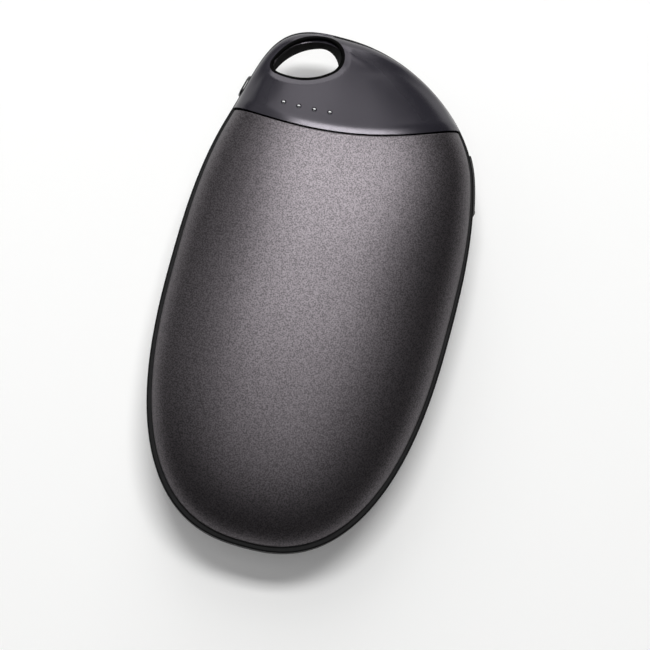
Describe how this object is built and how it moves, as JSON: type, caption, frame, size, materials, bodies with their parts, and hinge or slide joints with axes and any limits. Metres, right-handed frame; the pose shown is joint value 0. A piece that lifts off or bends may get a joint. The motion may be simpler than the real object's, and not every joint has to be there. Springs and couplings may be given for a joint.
{
  "type": "rechargeable hand warmer",
  "caption": "Flat pebble-shaped pocket hand warmer with satin metal shells, a gloss head pierced by a lanyard eye, a push button and a covered charging socket.",
  "frame": {"origin": "middle of the flat on the rear shell that the part rests on", "axes": "+Z out of the front face, +Y along the length towards the lanyard eye, +X towards the charging socket"},
  "size_m": [0.062, 0.112, 0.027],
  "materials": {
    "shell_metal": "satin, bead-blasted and anodised dark grey",
    "cap_gloss": "gloss",
    "band_black": "semi-gloss",
    "gasket_rubber": "matte",
    "button_black": "gloss",
    "switch_plastic": "matte",
    "cover_rubber": "satin",
    "socket_steel": "drawn",
    "socket_plastic": "matte",
    "contact_metal": "plated",
    "board_green": "satin",
    "chip_black": "matte",
    "coil_grey": "matte",
    "capacitor_tan": "satin",
    "lamp_white": "gloss",
    "light_clear": "gloss",
    "screw_steel": "blackened",
    "cell_can": "nickel-plated",
    "sleeve_blue": "shrink film",
    "link_nickel": "satin",
    "cradle_plastic": "matte",
    "film_amber": "satin",
    "lead_red": "satin",
    "lead_black": "satin",
    "lead_white": "satin",
    "sensor_black": "gloss"
  },
  "bodies": {
    "case": {"front_shell": "shell_metal", "rear_shell": "shell_metal", "front_cap": "cap_gloss", "rear_cap": "cap_gloss", "mid_frame": "band_black", "front_gasket": "gasket_rubber", "rear_gasket": "gasket_rubber", "switch_body": "switch_plastic", "cover_hinge_pin": "screw_steel", "socket_shell": "socket_steel", "socket_tongue": "socket_plastic", "socket_contacts": "contact_metal", "main_board": "board_green", "controller_chips": "chip_black", "boost_inductor": "coil_grey", "capacitors": "capacitor_tan", "indicator_lamps": "lamp_white", "light_guide": "light_clear", "case_screws": "screw_steel", "cell_left": "cell_can", "cell_right": "cell_can", "cell_sleeves": "sleeve_blue", "positive_link": "link_nickel", "negative_link": "link_nickel", "cell_cradle": "cradle_plastic", "cradle_screws": "screw_steel", "front_heater_film": "film_amber", "rear_heater_film": "film_amber", "positive_lead": "lead_red", "negative_lead": "lead_black", "front_heater_leads": "lead_white", "rear_heater_leads": "lead_white", "front_thermistor": "sensor_black", "rear_thermistor": "sensor_black"},
    "button": {"power_button": "button_black", "switch_plunger": "switch_plastic"},
    "cover": {"port_cover": "cover_rubber"}
  },
  "joints": [
    {"name": "button_press", "type": "slide", "parent": "case", "child": "button", "axis": [0.9696, -0.2448, 0], "range_m": [0, 0.0004], "stiffness_N_per_m": 800, "springref_m": -0.0005},
    {"name": "cover_hinge", "type": "hinge", "parent": "case", "child": "cover", "pos_m": [0.02854, 0.02621, 0.01335], "axis": [0, 0, -1], "range_deg": [0, 90]}
  ]
}
